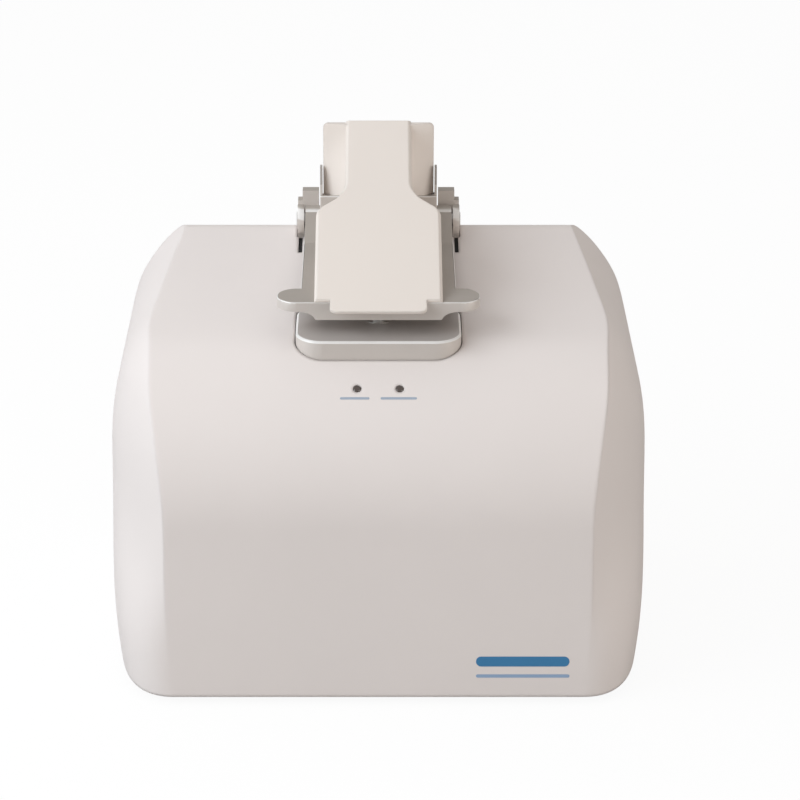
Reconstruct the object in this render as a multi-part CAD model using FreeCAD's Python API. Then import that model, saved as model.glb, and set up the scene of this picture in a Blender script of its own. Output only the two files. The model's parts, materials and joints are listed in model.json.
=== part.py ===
import FreeCAD, Part
import math
import os

from FreeCAD import Vector

# Microvolume spectrophotometer: a barrel-sided bench housing with a hinged sample arm on top.
# Millimetres. +X is the user's right, +Y points to the back, +Z is up.
# The origin is on the table, under the middle of the housing.

# Housing, outside
body_width = 210.0
body_depth = 156.0
front_wall_height = 74.0
knee_radius = 58.6
top_slope = 7.6
rear_edge_radius = 12.5
shoulder_start = 86.0
shoulder_inset = 38.0
shoulder_height = 63.0
corner_cut_low = 24.0
corner_cut_high = 24.2
corner_sweep_low = 64.0
corner_sweep_high = 72.0
corner_blend_from = 20.0
corner_blend_to = 72.0
skirt_tuck = 3.2
skirt_height = 34.0
cover_wall = 2.6

# Feet, bottom plate and the clearances of fixed joints
seat_gap = 0.05
seam_gap = 0.4
foot_height = 3.0
foot_radius = 8.0
foot_inset_x = 22.0
foot_inset_y = 24.0
foot_recess_depth = 2.0
foot_screw_radius = 1.5
foot_screw_head_radius = 3.0
foot_screw_head_height = 1.6
foot_screw_length = 13.0
chassis_thickness = 2.5
chassis_gap = 0.3
chassis_slots = 7
chassis_slot_pitch = 9.0
chassis_slot_width = 3.0
chassis_slot_length = 34.0
chassis_slot_offset = 36.0
boss_radius = 4.5

# Sample platform
platform_front = 35.6
platform_length = 41.0
platform_half_width = 31.6
platform_corner = 10.5
platform_wall = 3.5
platform_edge_bevel = 0.8
deck_height = 135.0
deck_thickness = 4.0
deck_boss_radius = 8.0
sample_point = 60.0
platform_screw_offset = 25.0
platform_screw_reach = 12.5
small_screw_radius = 1.2
small_screw_head_radius = 2.2
small_screw_head_height = 1.5
small_screw_length = 8.0
small_boss_radius = 3.4

# Inner frame that carries the platform and the hinge
frame_sheet = 2.5
frame_top = 120.5
frame_half_width = 42.0
frame_front = 34.0
frame_rear_margin = 5.4
frame_rear = body_depth - frame_rear_margin
leg_boss_gap = 8.5
frame_leg_half_width = body_width / 2 - foot_inset_x - boss_radius - leg_boss_gap
frame_leg_front = 62.0
frame_leg_rear_margin = 16.0
frame_leg_rear = body_depth - frame_leg_rear_margin
frame_foot_width = 12.0
frame_window_front = 84.0
frame_window_rear_margin = 32.0
frame_window_rear = body_depth - frame_window_rear_margin
frame_window_half_width = 30.0
frame_window_corner = 5.0
leg_gap_margin = 16.0
leg_gap_rise = 22.0
leg_gap_drop = 18.0

# Hinge
pivot_inset = 19.0
pivot_back = body_depth - pivot_inset
pivot_height = 149.5
ear_radius = 6.2
ear_thickness = 2.7
ear_gap = 0.3
ear_setback = 3.6
yoke_notch_half_width = 29.4
yoke_floor = 136.5
yoke_rear_margin = 5.7
yoke_rear = body_depth - yoke_rear_margin
yoke_wall = 3.0
post_setback = 6.4
post_front = pivot_back + post_setback
post_depth = 5.0
post_top = 159.7
post_inner = 24.3
post_outer = 30.9
post_shoulder_top = 155.6
pin_radius = 2.5
pin_clearance = 0.05
pin_head_radius = 3.2
pin_head_height = 0.4
pin_head_bevel = 0.2
bush_radius = 3.6
bush_length = 8.0
barrel_radius = 5.8
barrel_end_gap = 0.4
slot_width = 1.6
slot_length = 14.0
slot_offset = 31.5
seal_sink = 0.6
seal_depth = 1.4

# Arm frame
arm_front = 43.5
arm_bottom = 144.2
arm_top = 148.0
arm_half_width = 29.8
arm_rear_margin = 10.0
arm_rear = body_depth - arm_rear_margin
wing_half_span = 38.7
wing_depth = 15.8
wing_corner = 7.4
chin_bottom = 140.9
chin_half_width = 24.0
chin_flare = 31.4
chin_depth = 6.0
riser_front = 106.0
riser_half_width = 13.1
riser_wall = 1.8
riser_top = 158.0
flange_half_width = 23.7
flange_thickness = 0.9
flange_length = 6.0
flange_top = 170.0
rear_wall = 1.5
fairing_length = 25.0
fairing_meet = 40.0

# Arm cover
shell_wall = 2.0
shell_half_width = 24.4
shell_front_height = 1.2
shell_rear_height = 189.3
shell_gap = 0.2
tower_half_width = 13.1
neck_start = 90.5
neck_end = 110.0
neck_turn = 50.0
neck_front_radius = 7.0
shell_bevel = 1.0
shell_roof = 3.0
flare_half_width = 22.4
flare_lip = 1.0
flare_foot_depth = 9.3
flare_top_depth = 2.5
flare_drop = 1.4
flare_corner = 2.0
lift_tab_reach = 6.5
lift_tab_half_width = 18.4
lift_tab_thickness = 1.2
lift_tab_corner = 2.6
cover_boss_radius = 2.8
cover_screw_head_depth = 1.6

# Optics at the sample point
path_length = 1.0
lower_tip = 138.6
pedestal_radius = 2.5
pedestal_tip_radius = 1.3
pedestal_tip_height = 1.6
pedestal_collar_radius = 4.2
pedestal_collar_height = 2.0
pedestal_foot = 110.0
upper_cap_radius = 5.0
upper_cap_height = 2.6
guide_radius = 5.0
guide_flange_radius = 7.0
guide_rise = 0.3
guide_flange_height = 1.6
guide_clearance = 0.05
fibre_radius = 0.9
fibre_bend = 14.0
magnet_radius = 2.5
magnet_height = 2.0
magnet_offset = 14.0
magnet_back = 53.0
bumper_radius = 2.6
bumper_offset = 21.0
bumper_back = 70.0
bumper_gap = 0.1

# Lift motor under the lower pedestal
motor_size = 28.0
motor_height = 30.0
motor_top = 103.5
motor_corner = 3.0
motor_boss_radius = 6.0
motor_boss_height = 2.0
bracket_half_width = 18.0
bracket_sheet = 2.0
bracket_foot = 3.5
rod_radius = 2.0
rod_foot = 88.0

# Lamp in the arm's tower
lamp_length = 26.0
lamp_rear_gap = 1.5
lamp_radius_share = 0.33
lamp_axis_share = 0.64
lamp_snout_share = 0.4
lamp_snout_length = 3.0
saddle_half_width = 10.8
saddle_length = 12.0
lamp_fibre_lead = 10.0
lamp_fibre_run = 12.0
fibre_end_gap = 0.1

# Boards and modules in the housing
board_thickness = 1.6
board_leg_gap = 2.5
board_width = 2 * (frame_leg_half_width - frame_sheet - board_leg_gap)
board_rear_margin = 8.0
board_rear = body_depth - board_rear_margin
board_height = 12.0
board_module_gap = 4.0
standoff_radius = 2.8
standoff_side_inset = 15.0
standoff_inset = 5.0
spectrometer_width = 62.0
spectrometer_depth = 58.0
spectrometer_height = 26.0
spectrometer_front = 10.0
board_depth = board_rear - spectrometer_front - spectrometer_depth - board_module_gap
driver_width = 28.0
driver_depth = 48.0
driver_height = 10.0
driver_offset = -53.0
driver_front = 12.0
driver_chip_width = 10.0
driver_chip_inset = 8.0
driver_chip_height = 2.0
capacitor_radius = 5.0
capacitor_height = 14.0
capacitor_inset = 12.0
processor_width = 18.0
processor_height = 2.4
processor_inset = 22.0
header_width = 44.0
header_depth = 5.0
header_height = 7.0
header_inset = 3.0
memory_count = 3
memory_pitch = 13.0
memory_offset = 14.0
memory_width = 10.0
memory_depth = 14.0
memory_height = 1.6
memory_inset = 24.0
coil_count = 2
coil_pitch = 15.0
coil_offset = -50.0
coil_width = 10.0
coil_height = 5.0
coil_inset = 20.0

# Indicator lamps on the front
led_back = 23.4
led_offset = 8.0
led_radius = 1.5
led_hole_radius = 1.6
led_rise = 0.25
led_length = 7.0
led_board_width = 32.0
led_board_depth = 12.0
led_post_offset = 13.0
led_post_radius = 1.8

# Rear panel and its sockets
panel_thickness = 1.5
panel_half_width = 78.0
panel_top = 92.0
panel_window_half_width = 69.0
panel_window_bottom = 10.5
panel_window_top = 88.0
panel_window_corner = 4.0
panel_flange_half_width = 42.0
panel_flange_depth = 11.0
panel_screw_offset = 73.6
panel_screw_low = 28.0
panel_screw_high = 74.0
panel_screw_radius = 1.4
panel_screw_head_radius = 2.7
panel_screw_head_height = 1.4
panel_screw_length = 6.0
vent_slot_width = 2.4
vent_slot_length = 30.0
vent_slots = 15
vent_pitch = 6.0
vent_row_height = 66.0
jack_offset = -46.0
jack_width = 11.0
jack_length = 14.0
jack_collar_radius = 4.9
jack_collar_rise = 0.5
jack_bore_radius = 3.1
jack_bore_depth = 9.5
jack_pin_radius = 1.05
usb_offset = -18.0
usb_width = 12.0
usb_length = 16.0
usb_opening_width = 8.5
usb_opening_height = 7.8
usb_opening_depth = 9.0
usb_tongue_width = 5.6
usb_tongue_height = 3.2
socket_body_height = 11.0
switch_offset = 44.0
switch_height = 36.0
switch_body_width = 13.0
switch_body_height = 19.2
switch_body_depth = 16.0
switch_bezel_width = 15.0
switch_bezel_height = 21.0
switch_bezel_rise = 1.6
rocker_width = 10.6
rocker_half_height = 7.4
rocker_face = 3.2
rocker_tilt = 9.0
rocker_depth = 5.8
rocker_pin_radius = 1.2
rocker_pin_reach = 0.7
rocker_pin_clearance = 0.05
rocker_side_gap = 0.3
rocker_end_gap = 0.9


def back(distance):
    """The Y of a point that lies this far behind the front face."""
    return distance - body_depth / 2


def box(x0, x1, y0, y1, z0, z1):
    return Part.makeBox(x1 - x0, y1 - y0, z1 - z0, Vector(x0, y0, z0))


def cylinder(radius, height, base, direction=Vector(0, 0, 1)):
    return Part.makeCylinder(radius, height, base, direction)


def along_x(radius, x0, x1, y, z):
    return cylinder(radius, x1 - x0, Vector(x0, y, z), Vector(1, 0, 0))


def along_y(radius, y0, y1, x, z):
    return cylinder(radius, y1 - y0, Vector(x, y0, z), Vector(0, 1, 0))


def prism(points, direction):
    """A straight solid from a closed outline."""
    wire = Part.makePolygon(points + [points[0]])
    return Part.Face(wire).extrude(direction)


def rounded_slab(half_x, y0, y1, radius, z0, z1, centre_x=0.0):
    """A plate with four rounded upright corners."""
    slab = box(centre_x - half_x, centre_x + half_x, y0, y1, z0, z1)
    upright = [edge for edge in slab.Edges if abs(edge.BoundBox.ZLength - (z1 - z0)) < 1e-6]
    return slab.makeFillet(radius, upright)


def rounded_slab_upright(half_x, z0, z1, radius, y0, y1, centre_x=0.0):
    """A plate that stands across the back, with its four corners rounded."""
    slab = box(centre_x - half_x, centre_x + half_x, y0, y1, z0, z1)
    corners = [edge for edge in slab.Edges if abs(edge.BoundBox.YLength - (y1 - y0)) < 1e-6]
    return slab.makeFillet(radius, corners)


def mirrored(shape):
    return shape.mirror(Vector(0, 0, 0), Vector(1, 0, 0))


def both_sides(shape):
    return [shape, mirrored(shape)]


def fused(first, *others):
    return first.fuse(list(others)).removeSplitter()


def smooth_step(value, low, high):
    share = min(1.0, max(0.0, (value - low) / (high - low)))
    return share * share * (3 - 2 * share)


def mix(low, high, share):
    return low + (high - low) * share


def housing_half_width(z):
    """Half the outside width at this height: tucked at the skirt, rounded in at the shoulder."""
    shoulder = min(0.97, max(0.0, (z - shoulder_start) / shoulder_height))
    inset = shoulder_inset * (1 - math.sqrt(1 - shoulder * shoulder))
    skirt = max(0.0, 1 - z / skirt_height)
    return body_width / 2 - inset - skirt_tuck * skirt * skirt


def housing_section(z, inset):
    """The plan outline at one height, as the control points of six edges. Low down the front
    corners are round; higher up each is a long parabola that meets the front face at an angle."""
    blend = smooth_step(z, corner_blend_from, corner_blend_to)
    half = housing_half_width(z) - inset
    front = back(0) + inset
    rear = back(body_depth) + 1.0
    cut = mix(corner_cut_low, corner_cut_high, blend)
    sweep = mix(corner_sweep_low, corner_sweep_high, blend)
    start = Vector(half - cut, front, z)
    bend = Vector(half, front + blend * sweep / 2, z)
    end = Vector(half, front + sweep, z)
    rear_end = Vector(half, rear, z)

    def other(point):
        return Vector(-point.x, point.y, point.z)

    return [
        [other(start), start],
        [start, bend, end],
        [end, rear_end],
        [rear_end, other(rear_end)],
        [other(rear_end), other(end)],
        [other(end), other(bend), other(start)],
    ]


def smooth_skin(rows):
    """A surface through rows of control points: as many as given across, a cubic upwards."""
    across = len(rows[0]) - 1
    spans = len(rows) - 3
    columns = [[row[i] for row in rows] for i in range(across + 1)]
    surface = Part.BSplineSurface()
    surface.buildFromPolesMultsKnots(
        columns,
        [across + 1, across + 1],
        [4] + [1] * (spans - 1) + [4],
        [0.0, 1.0],
        [float(knot) for knot in range(spans + 1)],
        False,
        False,
        across,
        3,
    )
    face = surface.toShape()
    return Part.Face(face.OuterWire) if face.findPlane() else face


def flat_cap(section):
    edges = []
    for poles in section:
        curve = Part.BezierCurve()
        curve.setPoles(poles)
        edges.append(curve.toShape())
    return Part.Face(Part.Wire(edges))


def skinned_solid(sections):
    """A closed solid whose sides follow a stack of sections of like edges."""
    faces = [smooth_skin([section[i] for section in sections]) for i in range(len(sections[0]))]
    faces += [flat_cap(sections[0]), flat_cap(sections[-1])]
    shell = Part.Shell(faces)
    shell.sewShape()
    solid = Part.makeSolid(shell)
    if solid.Volume < 0:
        solid.reverse()
    return solid


def knee_centre():
    return (back(0) + knee_radius, front_wall_height)


def top_height(distance, inset=0.0):
    """The height of the housing's top this far behind the front face, before the rear edge."""
    y = back(distance)
    slope = math.radians(top_slope)
    cy, cz = knee_centre()
    radius = knee_radius - inset
    if y < cy - radius * math.sin(slope):
        return cz + math.sqrt(radius * radius - (y - cy) ** 2)
    return cz + (radius + (y - cy) * math.sin(slope)) / math.cos(slope)


def side_profile(inset):
    """The housing seen from the side: front face, knee, sloping top, rear edge, back wall."""
    slope = math.radians(top_slope)
    sine, cosine = math.sin(slope), math.cos(slope)
    cy, cz = knee_centre()
    knee = knee_radius - inset
    edge = rear_edge_radius - inset
    rear = back(body_depth) - inset
    ry = back(body_depth) - rear_edge_radius
    rz = cz + (knee_radius - rear_edge_radius + (ry - cy) * sine) / cosine
    below = -5.0

    def point(y, z):
        return Vector(-body_width, y, z)

    def on_arc(centre_y, centre_z, radius, angle):
        turn = math.radians(angle)
        return point(centre_y + radius * math.cos(turn), centre_z + radius * math.sin(turn))

    knee_start = point(cy - knee, cz)
    knee_end = on_arc(cy, cz, knee, 90 + top_slope)
    rear_start = on_arc(ry, rz, edge, 90 + top_slope)
    rear_end = point(rear, rz)
    edges = [
        Part.LineSegment(point(cy - knee, below), knee_start).toShape(),
        Part.Arc(knee_start, on_arc(cy, cz, knee, 135), knee_end).toShape(),
        Part.LineSegment(knee_end, rear_start).toShape(),
        Part.Arc(rear_start, on_arc(ry, rz, edge, 45), rear_end).toShape(),
        Part.LineSegment(rear_end, point(rear, below)).toShape(),
        Part.LineSegment(point(rear, below), point(cy - knee, below)).toShape(),
    ]
    return Part.Face(Part.Wire(edges)).extrude(Vector(2 * body_width, 0, 0))


def chorded(section):
    """The same section with each long curve as two straight runs, for the hidden inside."""
    edges = []
    for poles in section:
        if len(poles) == 3:
            middle = (poles[0] + poles[1] * 2 + poles[2]) * 0.25
            edges += [[poles[0], middle], [middle, poles[2]]]
        else:
            edges.append(poles)
    return edges


def housing_levels(bottom):
    top = top_height(body_depth - rear_edge_radius) + 2.5
    return [bottom, 18.0, 36.0, 54.0, 72.0, shoulder_start + 6, 112.0, 128.0, top]


def housing_block(inset, bottom):
    """The housing's outer form, or the same form moved in a little."""
    sections = [housing_section(level, inset) for level in housing_levels(bottom)]
    return skinned_solid(sections).common(side_profile(inset))


def housing_inside(inset, bottom):
    """The form inside the housing's wall, with its corners in straight runs."""
    sections = [chorded(housing_section(level, inset)) for level in housing_levels(bottom)]
    return skinned_solid(sections).common(side_profile(inset))


def boss_places():
    x = body_width / 2 - foot_inset_x
    y = body_depth / 2 - foot_inset_y
    return [(sx * x, sy * y) for sx in (-1, 1) for sy in (-1, 1)]


def platform_outline(gap, z0, z1):
    """The platform's plan, grown by a gap."""
    return rounded_slab(
        platform_half_width + gap,
        back(platform_front) - gap,
        back(platform_front + platform_length) + gap,
        platform_corner + gap,
        z0,
        z1,
    )


def yoke_half_width():
    return arm_half_width + ear_gap + ear_thickness


def yoke_outline(gap, z0, z1):
    """The hinge base's plan, grown by a gap: it steps back in front of each ear."""
    half = yoke_half_width() + gap
    notch = yoke_notch_half_width + gap
    front = back(pivot_back - ear_radius) - gap
    rear = back(yoke_rear) + gap
    wide = box(-half, half, front + ear_setback, rear, z0, z1)
    return fused(wide, box(-notch, notch, front, rear, z0, z1))


def slot_outline(gap, z0, z1):
    """The two narrow slots in front of the hinge ears."""
    y1 = back(pivot_back - ear_radius + ear_setback) - seam_gap
    right = box(slot_offset - slot_width / 2 - gap, slot_offset + slot_width / 2 + gap,
                y1 - slot_length - gap, y1 + gap, z0, z1)
    return both_sides(right)


def top_lean():
    """The angle, forward from upright, of the housing's surface at the indicator lamps."""
    cy, _ = knee_centre()
    return math.asin((cy - back(led_back)) / knee_radius)


def on_led_axis(x, rise):
    """A point on a lamp's axis, this far above the housing's surface."""
    lean = top_lean()
    return Vector(x, back(led_back) - rise * math.sin(lean), top_height(led_back) + rise * math.cos(lean))


def led_direction():
    lean = top_lean()
    return Vector(0, -math.sin(lean), math.cos(lean))


def led_cylinder(radius, x, low, high):
    return cylinder(radius, high - low, on_led_axis(x, low), led_direction())


def panel_outer_face():
    return back(body_depth) - cover_wall


def panel_screw_places():
    return [(sx * panel_screw_offset, z) for sx in (-1, 1) for z in (panel_screw_low, panel_screw_high)]


def make_top_cover():
    shell = housing_block(0.0, foot_height).cut(housing_inside(cover_wall, foot_height - 1.0))
    low = front_wall_height
    high = deck_height + 20
    rear = back(body_depth)
    cutters = [platform_outline(seam_gap, low, high), yoke_outline(seam_gap, low, high)]
    cutters += slot_outline(0.0, low, high)
    cutters.append(rounded_slab_upright(panel_window_half_width, panel_window_bottom, panel_window_top,
                                        panel_window_corner, rear - 10, rear + 5))
    for x, z in panel_screw_places():
        cutters.append(along_y(panel_screw_radius + seat_gap, rear - 10, rear + 5, x, z))
        seat = rear - panel_screw_head_height
        cutters.append(along_y(panel_screw_head_radius + seat_gap, seat, rear + 5, x, z))
    shell = shell.cut(cutters)
    posts = []
    for x, y in boss_places():
        post = cylinder(boss_radius, top_height(body_depth), Vector(x, y, foot_height + chassis_thickness))
        posts.append(post.common(housing_block(cover_wall / 2, foot_height)))
    for x in (-led_post_offset, led_post_offset):
        posts.append(led_cylinder(led_post_radius, x, -led_length, -cover_wall / 2))
    shell = shell.fuse(posts)
    holes = [cylinder(foot_screw_radius, foot_screw_length, Vector(x, y, 0)) for x, y in boss_places()]
    holes += [led_cylinder(led_hole_radius, x, -led_length, 5.0) for x in (-led_offset, led_offset)]
    return shell.cut(holes).removeSplitter()


def chassis_top():
    return foot_height + chassis_thickness


def make_bottom_chassis():
    top = chassis_top()
    plate = housing_inside(cover_wall + chassis_gap, foot_height)
    plate = plate.common(box(-body_width, body_width, -body_depth, body_depth, foot_height, top))
    cutters = [cylinder(foot_screw_radius + seat_gap, 20.0, Vector(x, y, 0)) for x, y in boss_places()]
    for x in (-chassis_slot_offset, chassis_slot_offset):
        for i in range(chassis_slots):
            y = (i - (chassis_slots - 1) / 2) * chassis_slot_pitch
            cutters.append(box(x - chassis_slot_length / 2, x + chassis_slot_length / 2,
                               y - chassis_slot_width / 2, y + chassis_slot_width / 2,
                               foot_height - 1, top + 1))
    return plate.cut(cutters)


def make_rubber_feet():
    feet = []
    for x, y in boss_places():
        foot = cylinder(foot_radius, foot_height, Vector(x, y, 0))
        foot = foot.cut(cylinder(foot_screw_head_radius + 0.5, foot_recess_depth, Vector(x, y, 0)))
        feet.append(foot.cut(cylinder(foot_screw_radius + seat_gap, foot_height + 1, Vector(x, y, 0))))
    return Part.makeCompound(feet)


def screw(head_radius, head_height, shank_radius, shank_length, seat, direction):
    """A round-headed screw: its head lies behind the seat, its shank runs on in the direction."""
    back_point = seat - direction * head_height
    head = cylinder(head_radius, head_height, back_point, direction)
    shank = cylinder(shank_radius, shank_length, seat, direction)
    return head.fuse(shank)


def make_foot_screws():
    up = Vector(0, 0, 1)
    screws = []
    for x, y in boss_places():
        screws.append(screw(foot_screw_head_radius, foot_screw_head_height, foot_screw_radius - seat_gap,
                            foot_screw_length - foot_recess_depth - 0.5,
                            Vector(x, y, foot_recess_depth), up))
    return Part.makeCompound(screws)


def make_support_frame():
    y0, y1 = back(frame_leg_front), back(frame_leg_rear)
    low = frame_top - frame_sheet
    foot = chassis_top()
    top = box(-frame_half_width, frame_half_width, back(frame_front), back(frame_rear), low, frame_top)
    saddle = box(-frame_leg_half_width, frame_leg_half_width, y0, y1, low, frame_top)
    outer = frame_leg_half_width
    leg = box(outer - frame_sheet, outer, y0, y1, foot, low + 0.5)
    pad = box(outer - frame_foot_width, outer, y0, y1, foot, foot + frame_sheet)
    frame = fused(top, saddle, *both_sides(leg), *both_sides(pad))
    half = frame_window_half_width
    front, rear = back(frame_window_front), back(frame_window_rear)
    cutters = [rounded_slab(half, front, rear, frame_window_corner, low - 1, frame_top + 1)]
    cutters.append(cylinder(guide_radius + seat_gap, 10.0, Vector(0, back(sample_point), low - 2)))
    for x, y in platform_screw_places() + yoke_screw_places():
        cutters.append(cylinder(small_screw_radius + seat_gap, 10.0, Vector(x, y, low - 2)))
    gap = box(outer - 10, outer + 10, y0 + leg_gap_margin, y1 - leg_gap_margin,
              foot + leg_gap_rise, low - leg_gap_drop)
    cutters += both_sides(gap)
    return frame.cut(cutters)


def platform_screw_places():
    x = platform_screw_offset
    middle = back(platform_front + platform_length / 2)
    return [(sx * x, middle + sy * platform_screw_reach) for sx in (-1, 1) for sy in (-1, 1)]


def yoke_screw_places():
    x = arm_half_width - 4.5
    y0 = back(pivot_back - ear_radius) + yoke_wall + 1.4
    y1 = back(yoke_rear) - yoke_wall - 1.4
    return [(sx * x, y) for sx in (-1, 1) for y in (y0, y1)]


def make_sample_platform():
    y_point = back(sample_point)
    block = platform_outline(0.0, frame_top, deck_height)
    rim = [edge for edge in block.Edges if edge.BoundBox.ZMin > deck_height - 0.01]
    block = block.makeChamfer(platform_edge_bevel, rim)
    ceiling = deck_height - deck_thickness
    pocket = platform_outline(-platform_wall, frame_top - 1, ceiling)
    block = block.cut(pocket)
    ribs = [cylinder(deck_boss_radius, ceiling - frame_top + 1, Vector(0, y_point, frame_top))]
    for x, y in platform_screw_places():
        ribs.append(cylinder(small_boss_radius, ceiling - frame_top + 1, Vector(x, y, frame_top)))
    block = block.fuse(ribs)
    cutters = [cylinder(guide_radius + seat_gap, 40.0, Vector(0, y_point, frame_top - 5))]
    for x, y in platform_screw_places():
        cutters.append(cylinder(small_screw_radius, small_screw_length, Vector(x, y, frame_top)))
    return block.cut(cutters).removeSplitter()


def make_platform_gasket():
    ring = platform_outline(seam_gap - 0.02, frame_top, deck_height).cut(
        platform_outline(0.02, frame_top - 1, deck_height + 1))
    return ring.common(housing_block(seal_sink, foot_height))


def screws_from_below(places, seat):
    up = Vector(0, 0, 1)
    return Part.makeCompound([
        screw(small_screw_head_radius, small_screw_head_height, small_screw_radius - seat_gap,
              small_screw_length + frame_sheet - 0.5, Vector(x, y, seat), up)
        for x, y in places
    ])


def make_platform_screws():
    return screws_from_below(platform_screw_places(), frame_top - frame_sheet)


def make_yoke_screws():
    return screws_from_below(yoke_screw_places(), frame_top - frame_sheet)


def ear_front(inside, outside):
    """The straight front edge of an ear, from its base up to a tangent on its round end."""
    centre = Vector(inside, back(pivot_back), pivot_height)
    distance = pivot_back - ear_radius + ear_setback
    foot = Vector(inside, back(distance), top_height(distance))
    turn = math.atan2(foot.z - centre.z, foot.y - centre.y) - math.acos(ear_radius / (foot - centre).Length)
    touch = centre + Vector(0, math.cos(turn), math.sin(turn)) * ear_radius
    return prism([foot, touch, centre, Vector(inside, centre.y, foot.z)], Vector(outside - inside, 0, 0))


def make_hinge_yoke():
    y_pivot = back(pivot_back)
    base = yoke_outline(0.0, frame_top, yoke_floor)
    inside = arm_half_width + ear_gap
    outside = yoke_half_width()
    y0, y1 = y_pivot - ear_radius + ear_setback, y_pivot + ear_radius
    ear = box(inside, outside, y0, y1, yoke_floor - 1, pivot_height)
    ear = ear.fuse([along_x(ear_radius, inside, outside, y_pivot, pivot_height), ear_front(inside, outside)])
    p0, p1 = back(post_front), back(post_front + post_depth)
    post = box(post_inner, post_outer, p0, p1, yoke_floor - 1, post_top)
    shoulder = box(post_inner, outside, p0, p1, yoke_floor - 1, post_shoulder_top)
    yoke = fused(base, *both_sides(ear), *both_sides(post), *both_sides(shoulder))
    pocket = yoke_outline(-yoke_wall, frame_top - 1, yoke_floor - yoke_wall)
    yoke = yoke.cut(pocket)
    bosses = [cylinder(small_boss_radius, yoke_floor - yoke_wall - frame_top + 1, Vector(x, y, frame_top))
              for x, y in yoke_screw_places()]
    yoke = fused(yoke, *bosses)
    cutters = [along_x(pin_radius + seat_gap, -outside - 1, outside + 1, y_pivot, pivot_height)]
    for x, y in yoke_screw_places():
        cutters.append(cylinder(small_screw_radius, small_screw_length, Vector(x, y, frame_top)))
    return yoke.cut(cutters)


def make_hinge_pin():
    half = yoke_half_width()
    return along_x(pin_radius, -half, half, back(pivot_back), pivot_height)


def make_pin_caps():
    half = yoke_half_width()
    cap = along_x(pin_head_radius, half, half + pin_head_height, back(pivot_back), pivot_height)
    rim = [edge for edge in cap.Edges if edge.BoundBox.XMin > half + pin_head_height - 0.01]
    return Part.makeCompound(both_sides(cap.makeChamfer(pin_head_bevel, rim)))


def make_slot_seals():
    layer = housing_block(seal_sink, foot_height).cut(housing_block(seal_sink + seal_depth, foot_height - 1))
    seals = [slot.common(layer) for slot in slot_outline(-0.02, front_wall_height, deck_height + 20)]
    return Part.makeCompound(seals)


def make_stop_bumpers():
    height = arm_bottom - bumper_gap - deck_height
    post = cylinder(bumper_radius, height, Vector(bumper_offset, back(bumper_back), deck_height))
    rim = [edge for edge in post.Edges if edge.BoundBox.ZMin > deck_height + height - 0.01]
    return Part.makeCompound(both_sides(post.makeChamfer(0.5, rim)))


def make_pedestal_guide():
    centre = Vector(0, back(sample_point), 0)
    low = frame_top - frame_sheet
    high = deck_height + guide_rise
    bush = cylinder(guide_radius, high - low, centre + Vector(0, 0, low))
    seat = centre + Vector(0, 0, low - guide_flange_height)
    flange = cylinder(guide_flange_radius, guide_flange_height, seat)
    hole = cylinder(pedestal_radius + guide_clearance, 60.0, centre + Vector(0, 0, low - 10))
    return bush.fuse(flange).cut(hole)


def make_lower_pedestal():
    centre = Vector(0, back(sample_point), 0)
    neck = lower_tip - pedestal_tip_height
    body = cylinder(pedestal_radius, neck - pedestal_foot, centre + Vector(0, 0, pedestal_foot))
    tip = Part.makeCone(pedestal_radius - 0.4, pedestal_tip_radius, pedestal_tip_height,
                        centre + Vector(0, 0, neck))
    collar = cylinder(pedestal_collar_radius, pedestal_collar_height, centre + Vector(0, 0, pedestal_foot))
    return body.fuse([tip, collar]).removeSplitter()


def make_lift_rod():
    return cylinder(rod_radius, pedestal_foot - rod_foot, Vector(0, back(sample_point), rod_foot))


def make_lift_motor():
    centre = Vector(0, back(sample_point), motor_top)
    half = motor_size / 2
    low = motor_top - motor_height
    block = rounded_slab(half, centre.y - half, centre.y + half, motor_corner, low, motor_top)
    block = block.fuse(cylinder(motor_boss_radius, motor_boss_height, centre))
    depth = motor_top - rod_foot + 3.0
    bore = cylinder(rod_radius + guide_clearance, depth + 10, centre - Vector(0, 0, depth))
    return block.cut(bore)


def make_motor_bracket():
    y_point = back(sample_point)
    half = bracket_half_width
    y0, y1 = y_point - half, y_point + half
    roof = frame_top - frame_sheet
    floor = box(-half, half, y0, y1, motor_top, motor_top + bracket_sheet)
    wall = box(half - bracket_sheet, half, y0, y1, motor_top, roof)
    foot = box(half - bracket_sheet, half + bracket_foot, y0, y1, roof - bracket_sheet, roof)
    plate = fused(floor, *both_sides(wall), *both_sides(foot))
    return plate.cut(cylinder(motor_boss_radius + chassis_gap, 20.0, Vector(0, y_point, motor_top - 2)))


def board_top():
    return board_height + board_thickness


def main_standoff_places():
    y0 = back(board_rear - board_depth) + standoff_inset
    y1 = back(board_rear) - standoff_inset
    x = board_width / 2 - standoff_side_inset
    return [(sx * x, y) for sx in (-1, 1) for y in (y0, y1)]


def driver_standoff_places():
    inset = standoff_inset - 1.5
    xs = (driver_offset - driver_width / 2 + inset, driver_offset + driver_width / 2 - inset)
    ys = (back(driver_front) + inset, back(driver_front + driver_depth) - inset)
    return [(x, y) for x in xs for y in ys]


def make_board_standoffs():
    low = chassis_top()
    posts = [cylinder(standoff_radius, board_height - low, Vector(x, y, low))
             for x, y in main_standoff_places()]
    posts += [cylinder(standoff_radius, driver_height - low, Vector(x, y, low))
              for x, y in driver_standoff_places()]
    return Part.makeCompound(posts)


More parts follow.
